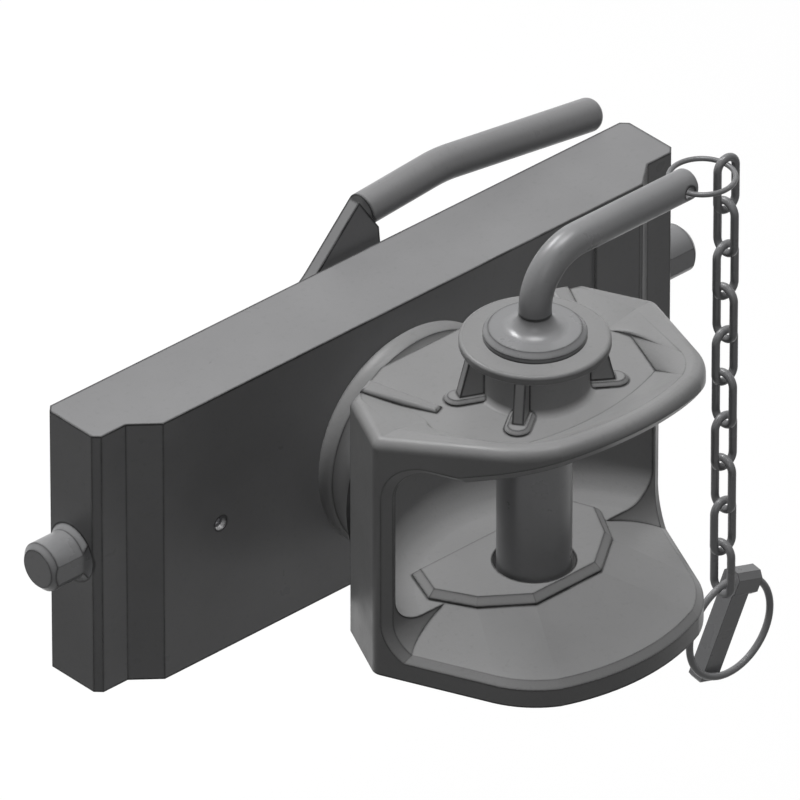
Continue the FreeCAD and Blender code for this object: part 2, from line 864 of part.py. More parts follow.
def jaw_corners(inset):
    """Right half of the jaw's plan from the back forward, moved inwards by an inset.

    The first corner lies on the slanted side, the next two end the shoulder's arc.
    """
    inset = as_size(inset)
    run = S["wide_half"] - S["shoulder_half"]
    rise = S["shoulder_place"] - S["wide_place"]
    length = root(run * run + rise * rise)
    out_x = rise / length
    out_y = run / length
    first = (S["wide_half"] + run - inset * out_x, S["wide_place"] - rise - inset * out_y)
    shoulder = (S["shoulder_half"] - inset * out_x, S["shoulder_place"] - inset * out_y)
    fall = S["front_place"] - S["brow_place"]
    front_round = (S["brow_half"] * S["brow_half"] + fall * fall) / (fall * 2)
    share = (front_round - inset) / front_round
    centre = S["front_place"] - front_round
    brow = (S["brow_half"] * share, centre + (S["brow_place"] - centre) * share)
    return [first, shoulder, brow], S["shoulder_round"] - inset, front_round - inset


def jaw_loop(inset):
    """Closed plan of the jaw's front part, moved inwards by an inset."""
    corners, turn, nose = jaw_corners(inset)
    first, shoulder, brow = [(corner[0], ahead(corner[1])) for corner in corners]
    return mirror_loop([first, shoulder, brow + (-turn,)], -nose)


def whole_jaw_loop():
    """Closed plan of the whole jaw, with its widest corners rounded."""
    corners, turn, nose = jaw_corners(0)
    shoulder, brow = [(corner[0], ahead(corner[1])) for corner in corners[1:]]
    side_x = S["wide_half"] - S["hip_half"]
    side_y = S["wide_place"] - S["hip_place"]
    face_x = S["wide_half"] - S["shoulder_half"]
    face_y = S["shoulder_place"] - S["wide_place"]
    side = root(side_x * side_x + side_y * side_y)
    face = root(face_x * face_x + face_y * face_y)
    cosine = (side_y * face_y - side_x * face_x) / (side * face)
    reach = S["wide_round"] * root((as_size(1) - cosine) / (as_size(1) + cosine))
    start = (S["wide_half"] - side_x / side * reach, ahead(S["wide_place"] - side_y / side * reach))
    end = (S["wide_half"] - face_x / face * reach, ahead(S["wide_place"] + face_y / face * reach))
    return mirror_loop([
        (S["back_half"], ahead(S["back_place"])),
        (S["hip_half"], ahead(S["hip_place"])),
        start,
        end + (-S["wide_round"],),
        shoulder,
        brow + (-turn,),
    ], -nose)


def loft(label, *sections):
    """A solid with straight lines between outlines of as many sides."""
    thing = doc.addObject("Part::Loft", label)
    thing.Sections = list(sections)
    thing.Solid = True
    thing.Ruled = True
    thing.Label = label
    return thing


def mirror_loop(half, middle_round=None):
    """Close a half outline given from the back forward with its mirror image.

    The round of an arc is kept with the corner that it arrives at, so it moves on by one corner.
    """
    loop = list(half)
    arrival = () if middle_round is None else (middle_round,)
    for corner in reversed(half):
        loop.append((-corner[0], corner[1]) + arrival)
        arrival = tuple(corner[2:])
    return loop


def make_jaw_blank():
    """Plan outline carried up to the rising top, with a rounded top edge and the round flange."""
    block = prism("JawPlan", "XY", [whole_jaw_loop()], -S["jaw_bottom"], S["rim_height"] * 2)
    far = S["front_place"] * 2
    tip_rise = (far - S["wide_place"]) * S["rim_slope"]
    above = prism("AboveJaw", "YZ", [[
        (0, S["rim_height"]),
        (ahead(S["wide_place"]), S["rim_height"]),
        (ahead(far), S["rim_height"] + tip_rise),
        (ahead(far), S["rim_height"] * 4),
        (0, S["rim_height"] * 4),
    ]], -end_face, end_face)
    lower = cut("JawBlock", block, above)
    top = S["rim_height"].value
    slope = S["rim_slope"].value
    start = ahead(S["wide_place"]).value

    def on_top(p):
        level = top + slope * max(start - p.y, 0)
        return abs(p.z - level) < near

    def on_edge(p):
        on_fold = abs(p.y - start) < near and abs(p.x) < S["hip_half"].value
        return on_top(p) and not on_fold

    return rounded("JawRounded", lower, S["rim_round"], on_edge)


def make_neck():
    """Round flange with a crowned rim and the hollow neck that spreads into the jaw's back."""
    crown = S["flange_radius"] - S["flange_crown"]
    crest = jaw_back - S["flange_round"]
    band_end = ahead(S["flange_thick"])
    band = (band_end - crest) * -1
    crown_round = (band * band / 4 + S["flange_crown"] * S["flange_crown"] / 16) / (S["flange_crown"] / 2)
    dip = S["neck_place"] - S["flange_thick"]
    profile = [
        (0, jaw_back),
        (S["flange_radius"] - S["flange_crown"], jaw_back),
        (S["flange_radius"] - S["flange_crown"] / 2, crest),
        (crown + S["flange_crown"] / 4, band_end, -crown_round),
        (S["neck_radius"], ahead(S["neck_place"]), dip * S["neck_hollow"]),
        (S["neck_end_radius"], ahead(S["neck_end"]), (S["neck_end"] - S["neck_place"]) * S["neck_flare"]),
        (0, ahead(S["neck_end"])),
    ]
    return turned("Neck", "XY", profile, (0, 1, 0))


def make_jaw_casting():
    """Open mouth, sunken top with its boss, ramps of the lower lip and the bore for the shaft."""
    blank = fuse("JawBlank", make_jaw_blank(), make_neck())

    floor = -S["bowl_floor"]
    low = S["bowl_radius"] - S["bowl_round"]
    high = S["bowl_radius"] - S["bowl_top_round"]
    bowl = turned("Bowl", "XZ", [
        (0, floor),
        (low, floor),
        (S["bowl_radius"], floor + S["bowl_round"], S["bowl_round"]),
        (S["bowl_radius"], S["bowl_top"] - S["bowl_top_round"]),
        (high, S["bowl_top"], S["bowl_top_round"]),
        (0, S["bowl_top"]),
    ], (0, 0, 1))
    place(bowl, 0, ahead(S["bowl_centre"]), 0)

    mouth_y = ahead(S["mouth_place"])
    far_y = ahead(S["front_place"] * 2)
    rise = (S["front_place"] * 2 - S["lip_start"]) * S["lip_slope"]
    rim = -S["mouth_low"]
    rim_low = rim - S["mouth_edge"]
    deep = rim_low - S["face_gap"]
    mouth = prism("Mouth", "YZ", [[
        (mouth_y, S["bowl_top"] - S["mouth_top_round"], -S["mouth_top_round"]),
        (mouth_y, S["mouth_low_round"] + deep),
        (mouth_y - S["mouth_low_round"], deep, -S["mouth_low_round"]),
        (far_y, deep),
        (far_y, S["bowl_top"] + rise),
        (ahead(S["lip_start"]), S["bowl_top"]),
        (mouth_y - S["mouth_top_round"], S["bowl_top"]),
    ]], -end_face, end_face)
    ramp_half = [
        (S["ramp_back_half"], ahead(S["ramp_back_place"])),
        (S["ramp_side_half"], ahead(S["ramp_side_place"])),
        (S["ramp_floor_half"], ahead(S["ramp_floor_front"])),
    ]
    ramp_rim = draw(doc, "XY", [jaw_loop(S["mouth_edge"])], rim)
    ramp = loft("Ramp", ramp_rim, draw(doc, "XY", [mirror_loop(ramp_half)], floor))
    strip_foot = draw(doc, "XY", [jaw_loop(-S["face_gap"])], rim_low)
    strip = loft("RimStrip", strip_foot, ramp_rim)
    under = prism("RimBase", "XY", [jaw_loop(-S["face_gap"])], deep - S["mouth_edge"], rim_low)
    open_mouth = cut("OpenMouth", mouth, ramp, strip, under)

    hollow = cut("JawHollow", blank, bowl, open_mouth)
    doc.recompute()
    outside = blank.Shape.Shells[0]
    opening = open_mouth.Shape.Shells[0]

    def on_mouth_edge(p):
        point = Part.Vertex(p)
        above_strip = p.z > rim.value or p.y > ahead(S["shoulder_place"]).value
        return above_strip and all(shell.distToShape(point)[0] < near for shell in (opening, outside))

    bevelled = rounded("MouthBevel", hollow, S["mouth_edge"], on_mouth_edge, "Chamfer")
    panned = cut("JawPanned", bevelled, *make_pan())
    solid = fuse("JawSolid", panned, make_pin_pad(), make_seat(), *make_gussets(), *make_top_ribs())

    low_end = -S["jaw_bottom"] - S["cut_past"]
    pad_top = floor + S["pad_rise"]
    top_bore = prism("TopBore", "XY", [(0, pin_y, S["pin_radius"] + S["pin_gap"])],
                     0, S["seat_top"] + S["cut_past"])
    low_bore = prism("LowBore", "XY", [(0, pin_y, S["pin_radius"] + S["pin_lower_gap"])],
                     low_end, pad_top + S["cut_past"])
    shaft_hole = prism("ShaftHole", "XZ", [(0, 0, S["shaft_radius"] + S["press_gap"])],
                       jaw_back - S["shaft_seat"], jaw_back + S["cut_past"])
    keep(cut("Jaw", solid, top_bore, low_bore, shaft_hole), "jaw_casting")


def pan_front_round():
    """Radius of the arc that ends the pan's floor in front."""
    fall = S["pan_front"] - S["pan_front_place"]
    return (S["pan_front_half"] * S["pan_front_half"] + fall * fall) / (fall * 2)


def make_pan():
    """Sunken floor of the jaw's top: a straight-sided back part and a scooped front part."""
    edge_y = ahead(S["wide_place"])
    back_y = ahead(S["back_place"] - S["pan_back_reach"])
    floor_half = [(S["pan_back_half"], back_y), (S["pan_half"], edge_y)]
    # the slanted walls run on to twice their height, past the rim
    upper_half = [
        (S["pad_back_half"] * 2 - S["pan_back_half"], back_y),
        (S["pad_front_half"] * 2 - S["pan_half"], edge_y),
    ]
    lower = draw(doc, "XY", [mirror_loop(floor_half)], S["top_floor"])
    upper = draw(doc, "XY", [mirror_loop(upper_half)], S["rim_height"] * 2 - S["top_floor"])
    back_part = loft("PanBack", lower, upper)

    front_half = [
        (S["pan_half"], edge_y),
        (S["pan_wide"], ahead(S["pan_wide_place"])),
        (S["pan_front_half"], ahead(S["pan_front_place"])),
    ]
    front_lower = draw(doc, "XY", [mirror_loop(front_half, -pan_front_round())], S["top_floor"])
    corners, turn, nose = jaw_corners(S["rim_inset"])
    shoulder, brow = corners[1:]
    angle = math.atan(S["rim_slope"].value)
    stretch = root(S["rim_slope"] * S["rim_slope"] + 1)

    def on_slope(place_y):
        return (S["wide_place"] - place_y) * stretch

    rim_half = [
        (S["pad_front_half"], 0),
        (shoulder[0], on_slope(shoulder[1])),
        (brow[0], on_slope(brow[1]), -turn),
    ]
    front_upper = draw(doc, "XY", [mirror_loop(rim_half, -nose)], S["rim_height"])
    front_upper.Placement = FreeCAD.Placement(
        Vector(0, edge_y.value, S["rim_height"].value),
        FreeCAD.Rotation(Vector(1, 0, 0), -math.degrees(angle)),
    )
    front_upper.setExpression("Placement.Base.y", edge_y.text)
    front_part = loft("PanFront", front_lower, front_upper)
    return back_part, front_part


def make_pin_pad():
    """Raised pad round the pin's hole in the lower lip."""
    base = -S["bowl_floor"]
    corners = [
        (S["pad_tail_half"], ahead(S["pad_tail_place"])),
        (S["pad_wide_half"], ahead(S["pad_wide_place"])),
        (S["ramp_side_half"], ahead(S["ramp_side_place"])),
        (S["ramp_floor_half"], ahead(S["ramp_floor_front"])),
    ]
    pad = prism("PinPad", "XY", [mirror_loop(corners)], base - S["pad_rise"], base + S["pad_rise"])
    top = (base + S["pad_rise"]).value
    return rounded("PinPadBevel", pad, S["pad_bevel"], lambda p: abs(p.z - top) < near, "Chamfer")


def make_seat():
    """Round boss under the pin's collar, with a rounded foot and a wider plate on top."""
    foot = S["seat_foot_round"]
    edge = S["seat_plate_round"]
    plate = S["seat_plate_radius"]
    seat = turned("Seat", "XZ", [
        (0, S["top_floor"] - S["sink"]),
        (S["seat_radius"] + foot, S["top_floor"] - S["sink"]),
        (S["seat_radius"] + foot, S["top_floor"]),
        (S["seat_radius"], S["top_floor"] + foot, -foot),
        (S["seat_radius"], S["seat_plate_base"]),
        (plate - edge, S["seat_plate_base"]),
        (plate, S["seat_plate_base"] + edge, edge),
        (plate, S["seat_top"] - edge),
        (plate - edge, S["seat_top"], edge),
        (0, S["seat_top"]),
    ], (0, 0, 1))
    return place(seat, 0, pin_y, 0)


def make_gussets():
    """Four tapering gussets round the boss, each with a round-ended foot."""
    parts = []
    inside = S["seat_radius"] - S["gusset_root"]
    under = S["top_floor"] - S["sink"]
    half = S["gusset_thick"] / 2
    foot_half = S["gusset_foot_half"]
    foot_top = S["top_floor"] + S["gusset_foot_rise"]

    def on_foot_top(p):
        return abs(p.z - foot_top.value) < near

    for angle in gusset_angles:
        web = prism("Gusset", "XZ", [[
            (inside, under),
            (S["gusset_reach"], under),
            (S["gusset_reach"], S["top_floor"] + S["gusset_toe"]),
            (S["gusset_top_reach"], S["seat_plate_base"] + S["sink"]),
            (inside, S["seat_plate_base"] + S["sink"]),
        ]], -half, half)
        foot = prism("GussetFoot", "XY", [[
            (inside, -foot_half),
            (S["gusset_reach"], -foot_half),
            (S["gusset_reach"], foot_half, foot_half),
            (inside, foot_half),
        ]], under, foot_top)
        bevelled = rounded("GussetFootBevel", foot, S["gusset_foot_bevel"], on_foot_top, "Chamfer")
        for piece in (web, bevelled):
            parts.append(place(piece, 0, pin_y, 0, ((0, 0, 1), angle)))
    return parts


def make_top_ribs():
    """Two wedges that run from the back corners of the top down to its floor."""
    across = S["rib_back_half"] - S["rib_front_half"]
    along = S["rib_front_place"] - S["rib_back_place"]
    length = root(across * across + along * along)
    out_x = along / length
    out_y = across / length
    wide = S["rib_width"] / 2
    narrow = S["rib_tip_width"] / 2
    under = S["top_floor"] - S["sink"]
    back_y = ahead(S["rib_back_place"] - S["rib_run_past"])
    tip_y = ahead(S["rib_front_place"] + S["rib_run_past"])
    back_z = S["rim_height"] + S["rib_rise"]
    tip_z = S["top_floor"] + S["rib_tip_height"]
    slant = prism("RibSlant", "YZ", [[
        (back_y, under),
        (back_y, back_z),
        (tip_y, tip_z),
        (tip_y, under),
    ]], -end_face, end_face)

    def on_ridge(p):
        share = (p.y - back_y.value) / (tip_y.value - back_y.value)
        level = back_z.value + (tip_z.value - back_z.value) * share
        return abs(p.z - level) < near

    ribs = []
    for _, side in sides:
        plan = prism("RibPlan", "XY", [[
            ((S["rib_back_half"] + out_x * wide) * side, ahead(S["rib_back_place"] + out_y * wide)),
            ((S["rib_front_half"] + out_x * narrow) * side, ahead(S["rib_front_place"] + out_y * narrow)),
            ((S["rib_front_half"] - out_x * narrow) * side, ahead(S["rib_front_place"] - out_y * narrow)),
            ((S["rib_back_half"] - out_x * wide) * side, ahead(S["rib_back_place"] - out_y * wide)),
        ]], under, S["rim_height"] * 2)
        wedge = common("TopRib", plan, slant)
        ribs.append(rounded("TopRibRound", wedge, S["rib_round"], on_ridge))
    return ribs


def make_swivel_parts():
    """Shaft pressed into the jaw, and what holds it behind the block: rings, springs, nut, pin."""
    bevel = S["corner_bevel"] / 2
    shaft = turned("Shaft", "XY", [
        (0, jaw_back - S["shaft_seat"] + S["face_gap"]),
        (S["shaft_radius"], jaw_back - S["shaft_seat"] + S["face_gap"]),
        (S["shaft_radius"], washer_far - S["shaft_radius"] + S["shaft_thread"]),
        (S["shaft_thread"], washer_far),
        (S["shaft_thread"], shaft_far - bevel),
        (S["shaft_thread"] - bevel, shaft_far),
        (0, shaft_far),
    ], (0, 1, 0))
    pin_place = nut_far - S["nut_slot_depth"] / 2
    pin_bore = prism("PinBore", "YZ", [(pin_place, 0, S["split_radius"] + S["split_gap"])],
                     -S["nut_across"], S["nut_across"])
    nipple_bore = prism("NippleBore", "XZ", [(0, 0, S["nipple_radius"] + S["press_gap"])],
                        shaft_far - S["nipple_thread"], shaft_far + S["cut_past"])
    keep(cut("SwivelShaft", shaft, pin_bore, nipple_bore), "swivel_shaft")

    inner = S["shaft_radius"] + S["run_gap"]
    ring = [(0, 0, S["thrust_radius"]), (0, 0, inner)]
    keep(prism("ThrustRing", "XZ", ring, thrust_near, thrust_far), "rear_thrust_ring")
    height = S["disc_thick"] + S["disc_cone"]
    for name, start, way in (("front", thrust_far, 1), ("rear", disc_far, -1)):
        keep(turned("DiscSpring", "XY", [
            (S["disc_radius"], start),
            (S["disc_radius"], start + S["disc_thick"] * way),
            (inner, start + height * way),
            (inner, start + S["disc_cone"] * way),
        ], (0, 1, 0)), "disc_spring_" + name)
    washer = [(0, 0, S["shaft_washer_radius"]), (0, 0, S["shaft_radius"] + S["run_gap"])]
    keep(prism("ShaftWasher", "XZ", washer, disc_far, washer_far), "shaft_washer")

    nut = add("Prism", "NutBlank", Circumradius=S["nut_across"] / math.sqrt(3), Height=S["nut_height"])
    nut.Polygon = 6
    place(nut, 0, washer_far, 0, ((1, 1, 1), 240))
    thread = prism("NutThread", "XZ", [(0, 0, S["shaft_thread"] + S["run_gap"])],
                   washer_far - S["cut_past"], nut_far + S["cut_past"])
    crown_radius = S["nut_across"] / 2 - S["nut_crown_step"]
    crown = turned("NutCrown", "XY", [
        (0, washer_far - S["nut_height"]),
        (S["nut_across"], washer_far - S["nut_height"]),
        (S["nut_across"], nut_far - S["nut_slot_depth"]),
        (crown_radius, nut_far - S["nut_slot_depth"]),
        (crown_radius, nut_far + S["cut_past"]),
        (0, nut_far + S["cut_past"]),
    ], (0, 1, 0))
    slots = []
    wide = S["nut_slot"] / 2
    for turn in (0, 60, 120):
        slot = prism("NutSlot", "XZ", [[
            (-S["nut_across"], -wide),
            (S["nut_across"], -wide),
            (S["nut_across"], wide),
            (-S["nut_across"], wide),
        ]], nut_far - S["nut_slot_depth"], nut_far + S["cut_past"])
        slots.append(place(slot, 0, 0, 0, ((0, 1, 0), turn)))
    keep(cut("Nut", common("NutBody", nut, crown), thread, *slots), "castle_nut")

    reach = S["nut_across"] / 2 + S["split_radius"] * 2
    shank = prism("SplitShank", "YZ", [(pin_place, 0, S["split_radius"])], -reach, reach)
    eye = add("Torus", "SplitEye", Radius1=S["split_eye_radius"], Radius2=S["split_eye_wire"])
    place(eye, reach + S["split_eye_radius"], pin_place, 0, ((1, 0, 0), 90))
    keep(fuse("SplitPin", shank, eye), "split_pin")

    tip = shaft_far - S["nipple_thread"] + S["nipple_length"]
    keep(turned("Nipple", "XY", [
        (0, shaft_far - S["nipple_thread"] + S["face_gap"]),
        (S["nipple_radius"], shaft_far - S["nipple_thread"] + S["face_gap"]),
        (S["nipple_radius"], tip - S["nipple_radius"]),
        (S["nipple_neck"], tip - S["nipple_neck_drop"]),
        (S["nipple_bead"], tip - S["nipple_bead_drop"]),
        (S["nipple_tip"], tip),
        (0, tip),
    ], (0, 1, 0)), "grease_nipple")


def make_hitch_pin():
    """Pin with its collar and hollow-sided neck, and the bent handle that grows out of it."""
    body = new_body("hitch_pin")
    seat = S["seat_top"] + S["face_gap"]
    collar_top = seat + S["collar_thick"]
    neck = S["handle_radius"] + S["trumpet_round"]
    profile = [
        (0, -S["pin_end"]),
        (S["pin_radius"] - S["pin_end_bevel"], -S["pin_end"]),
        (S["pin_radius"], -S["pin_end"] + S["pin_end_bevel"]),
        (S["pin_radius"], seat),
        (S["collar_radius"], seat),
        (S["collar_radius"], collar_top - S["collar_bevel"]),
        (S["collar_radius"] - S["collar_bevel"], collar_top),
        (neck, collar_top),
        (S["handle_radius"], collar_top + S["trumpet_round"], -S["trumpet_round"]),
        (0, collar_top + S["trumpet_round"]),
    ]
    section = draw(body, "XZ", [profile])
    turn = body.newObject("PartDesign::Revolution", "Turn")
    turn.Profile = section
    turn.ReferenceAxis = (section, ["V_Axis"])
    turn.Angle = 360
    hole = [(0, -S["cross_hole_height"], S["cross_hole_radius"])]
    part_feature(body, "Pocket", draw(body, "XZ", hole), S["pin_radius"] * 3, Midplane=True)
    place(body, 0, pin_y, 0)
    keep(body, "hitch_pin")

    start = collar_top + S["trumpet_round"]
    handle = doc.addObject("Part::Feature", "HandleBar")
    corner = Vector(0, 0, S["handle_height"].value)
    end = Vector(S["handle_length"].value, 0, S["handle_height"].value)
    handle.Shape = bent_bar([Vector(0, 0, start.value), corner, end],
                            S["handle_bend"].value, S["handle_radius"].value)
    place(handle, 0, pin_y, 0)
    eye = prism("HandleEye", "XZ", [(ring_hinge, S["handle_height"], S["ring_hole_radius"])],
                pin_y - S["handle_radius"] * 2, pin_y + S["handle_radius"] * 2)
    limit = end.x - near
    bar = rounded("HandleEnd", handle, S["handle_end_round"], lambda p: p.x > limit)
    keep(cut("Handle", bar, eye), "pin_handle")


def make_chain():
    """Split ring in the handle's eye and ten round-wire links, turned a quarter one to the next."""
    ring = add("Torus", "HandleRing", Radius1=S["ring_radius"], Radius2=S["ring_wire"])
    keep(place(ring, S["ring_place"], pin_y, ring_height), "handle_ring")
    straight = S["link_length"] + S["link_wire"] * 2 - link_half * 2
    for number in range(link_count):
        top = first_top - link_pitch * number
        pieces = []
        for end, turn in ((0, 0), (straight, 180)):
            bow = add("Torus", "Bow", Radius1=link_half, Radius2=S["link_wire"])
            bow.Angle3 = 180
            place(bow, 0, 0, -link_half - end, ((1, 0, 0), 90 + turn))
            pieces.append(bow)
        for side in (1, -1):
            bar = add("Cylinder", "Bar", Radius=S["link_wire"], Height=straight)
            pieces.append(place(bar, link_half * side, 0, -link_half - straight))
        link = fuse("Link", *pieces)
        place(link, chain_x, pin_y, top, ((0, 0, 1), 90 * (number % 2)))
        keep(link, "chain_link_%02d" % (number + 1))


def make_linch_pin():
    """Securing pin: a bevelled bar with a head, and a wire ring hinged in both ends of the head."""
    lean = math.radians(S["linch_lean"].value)
    half_gap = S["linch_head_length"] / 2 + S["linch_wire"] + S["linch_gap"]
    radius = S["linch_ring_radius"]
    depth = root(radius * radius - half_gap * half_gap)
    opening = math.degrees(math.asin(half_gap.value / radius.value))
    hook = root(radius * radius - S["linch_offset"] * S["linch_offset"])
    centre_z = last_bottom + S["link_wire"] + S["linch_wire"] + S["link_gap"] - hook

    def rest(thing):
        """Lean the whole securing pin about the centre of its ring."""
        return place(thing, linch_x, pin_y, centre_z, ((0, 1, 0), S["linch_lean"].value))

    arc = add("Torus", "LinchArc", Radius1=radius, Radius2=S["linch_wire"])
    arc.Angle3 = 360 - 2 * opening
    arc.Placement = FreeCAD.Placement(
        Vector(),
        FreeCAD.Rotation(Vector(1, 0, 0), 90) * FreeCAD.Rotation(Vector(0, 0, 1), 90 + opening),
    )
    pieces = [arc]
    for side in (1, -1):
        ball = add("Sphere", "LinchBend", Radius=S["linch_wire"])
        pieces.append(place(ball, half_gap * side, 0, depth))
        stub = add("Cylinder", "LinchStub", Radius=S["linch_wire"],
                   Height=S["linch_stub"] + S["linch_wire"])
        pieces.append(place(stub, half_gap * side, 0, depth, ((0, 1, 0), -90 * side)))
    keep(rest(fuse("LinchRing", *pieces)), "linch_ring")

    height = S["linch_head_height"]
    head = prism("LinchHead", "YZ", [[
        (-S["linch_head_depth"] / 2, -height / 2),
        (S["linch_head_depth"] / 2, -height / 2),
        (S["linch_head_depth"] / 2, height / 2),
        (-S["linch_head_depth"] / 2, height / 2),
    ]], -S["linch_head_length"] / 2, S["linch_head_length"] / 2)

    def on_long_edge(p):
        beside = abs(abs(p.y) - S["linch_head_depth"].value / 2) < near
        return beside and abs(abs(p.z) - height.value / 2) < near

    head_bevelled = rounded("LinchHeadBevel", head, S["linch_head_bevel"], on_long_edge, "Chamfer")
    bar_x = (S["linch_bar_width"] - S["linch_head_length"]) / 2
    low = -(depth + radius + S["linch_bar_reach"])
    bar = prism("LinchBar", "XY", [[
        (bar_x - S["linch_bar_width"] / 2, -S["linch_bar_depth"] / 2),
        (bar_x + S["linch_bar_width"] / 2, -S["linch_bar_depth"] / 2),
        (bar_x + S["linch_bar_width"] / 2, S["linch_bar_depth"] / 2),
        (bar_x - S["linch_bar_width"] / 2, S["linch_bar_depth"] / 2),
    ]], low, 0)
    bar_bevelled = rounded("LinchBarBevel", bar, S["linch_bar_bevel"], lambda p: p.z < -near, "Chamfer")
    pin_blank = fuse("LinchBlank", head_bevelled, bar_bevelled)
    sockets = []
    for side in (1, -1):
        socket = add("Cylinder", "LinchSocket", Radius=S["linch_wire"] + S["linch_gap"],
                     Height=S["linch_stub"])
        sockets.append(place(socket, S["linch_head_length"] / 2 * side, 0, 0, ((0, 1, 0), -90 * side)))
    drilled = cut("LinchPin", pin_blank, *sockets)
    drilled.Placement = FreeCAD.Placement(
        Vector(linch_x.value + depth.value * math.sin(lean), pin_y.value,
               centre_z.value + depth.value * math.cos(lean)),
        FreeCAD.Rotation(Vector(0, 1, 0), S["linch_lean"].value)
        * FreeCAD.Rotation(Vector(1, 0, 0), S["linch_tilt"].value),
    )
    keep(drilled, "linch_pin")


make_carriage_block()
make_bearing_parts()
make_locking_pins()
make_pin_springs()
make_lever()
make_jaw_casting()
make_swivel_parts()
make_hitch_pin()
make_chain()
make_linch_pin()

doc.recompute()
for thing in doc.Objects:
    if "Invalid" in thing.State or "Error" in thing.State:
        raise RuntimeError("%s (%s) is %s" % (thing.Label, thing.Name, thing.State))
os.makedirs("parts", exist_ok=True)
for thing in nodes:
    shape = thing.Shape
    if shape.isNull() or not shape.isValid():
        raise RuntimeError(thing.Label + " has no valid shape")
    shape.exportStep("parts/%s.step" % thing.Label)
    box = shape.optimalBoundingBox()
    print(thing.Label, len(shape.Solids), round(shape.Volume), box)
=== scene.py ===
"""Looks of a towing jaw hitch: finishes, a bare plate, a shaft thread, pin springs and the studio.

Lengths are metres in the frame of the CAD model: X to the right, -Y towards the mouth and Z up.
"""

import math
from collections import namedtuple

import bmesh
import bpy
from bpy.props import FloatProperty, FloatVectorProperty, IntProperty, PointerProperty
from mathutils import Matrix, Vector


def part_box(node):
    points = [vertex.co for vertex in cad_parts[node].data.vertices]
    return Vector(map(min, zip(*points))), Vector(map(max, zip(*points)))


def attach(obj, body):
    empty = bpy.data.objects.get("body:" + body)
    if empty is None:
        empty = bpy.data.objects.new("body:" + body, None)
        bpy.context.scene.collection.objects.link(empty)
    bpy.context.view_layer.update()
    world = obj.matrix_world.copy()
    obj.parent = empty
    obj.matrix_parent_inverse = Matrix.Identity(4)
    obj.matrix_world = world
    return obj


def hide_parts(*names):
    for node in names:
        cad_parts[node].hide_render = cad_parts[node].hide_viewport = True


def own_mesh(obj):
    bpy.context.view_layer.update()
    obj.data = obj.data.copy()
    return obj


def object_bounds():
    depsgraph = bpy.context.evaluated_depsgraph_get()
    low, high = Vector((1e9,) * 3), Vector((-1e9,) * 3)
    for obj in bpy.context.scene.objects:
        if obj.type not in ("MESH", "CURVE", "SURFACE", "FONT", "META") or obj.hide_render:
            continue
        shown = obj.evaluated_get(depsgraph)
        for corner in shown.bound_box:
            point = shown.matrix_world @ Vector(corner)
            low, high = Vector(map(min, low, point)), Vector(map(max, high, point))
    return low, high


bl_info = {
    "name": "Towing jaw hitch",
    "version": (1, 0, 0),
    "blender": (4, 5, 0),
    "location": "View3D > Sidebar > Hitch",
    "description": "Dresses the frame of a towing jaw hitch with its finishes, plate, thread and springs",
    "category": "Object",
}

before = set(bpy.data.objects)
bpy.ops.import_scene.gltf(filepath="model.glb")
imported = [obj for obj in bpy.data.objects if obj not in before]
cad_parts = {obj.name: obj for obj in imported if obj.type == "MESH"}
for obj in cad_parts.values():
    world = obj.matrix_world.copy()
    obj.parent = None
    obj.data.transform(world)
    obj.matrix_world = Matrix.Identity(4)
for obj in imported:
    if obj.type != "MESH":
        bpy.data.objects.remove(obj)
CAD_LOW, CAD_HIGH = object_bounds()
MM = 0.001
BLOCK_LOW, BLOCK_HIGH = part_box("carriage_block")
NUT_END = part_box("castle_nut")[1].y
SHAFT_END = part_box("swivel_shaft")[1].y

# every finish: its colour setting, gloss, grain, how much of the edge width its painted edge lines take and
# their tone (below 1 a painted dark line that also paints shade into creases), and the nodes that take it
Finish = namedtuple("Finish", "name colour metallic roughness waves height edge_share edge_tone nodes")
FINISHES = (
    Finish("painted_casting", "casting", 0.0, 0.36, 700, 0.12 * MM, 1, 0.12, ("jaw_casting",)),
    Finish("painted_steel", "paint", 0.0, 0.34, 900, 0.05 * MM, 1, 0.12,
           ("carriage_block", "lever_plate", "lever_rod")),
    Finish("machined_steel", "bright", 0.12, 0.32, 1400, 0.03 * MM, 1, 0.15,
           ("lock_pin_left", "lock_pin_right", "hitch_pin", "pin_handle", "swivel_shaft", "castle_nut",
            "shaft_washer", "peg_left", "peg_right", "lever_stop_pin", "rear_thrust_ring")),
    Finish("plated_wire", "wire", 0.1, 0.3, 1600, 0.02 * MM, 0.25, 0.3,
           ("handle_ring", "linch_ring", "linch_pin")
           + tuple(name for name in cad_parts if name.startswith("chain_link"))),
    Finish("oiled_spring", "spring", 0.5, 0.32, 1600, 0.02 * MM, 0.25, 0.6,
           ("pin_spring_left", "pin_spring_right", "disc_spring_front", "disc_spring_rear",
            "lever_retaining_ring", "split_pin", "guide_screw_left", "guide_screw_right")),
    Finish("machined_bronze", "bronze", 0.8, 0.3, 1400, 0.02 * MM, 0.25, 1.2,
           ("front_bush", "rear_bush", "thrust_washer", "grease_nipple")),
)

# waves in a metre of the patterns that all finishes share
MOTTLE_WAVES = 14
GLOSS_WAVES = 48
PATCH_WAVES = 60
SPECK_WAVES = 420
# how far mottles change the colour, how dark a speck is, and how far the roughness wanders
MOTTLE_SPREAD = 0.07
SPECK_TONE = 0.8
GLOSS_SPREAD = 0.07
# rays that round a normal
EDGE_SAMPLES = 8
# how level the rounded normal lies with the true one where an edge's painted dark line and crease shade is
# full, and where it ends
EDGE_FULL = 0.95
EDGE_END = 0.996
# how strongly a coated surface mirrors the room
GLOSS_LEVEL = 0.15

# corners of the thread ridge's section
RIDGE_SIDES = 4
# corners of loose triangles nearer than this are one
JOIN_REACH = 0.001 * MM

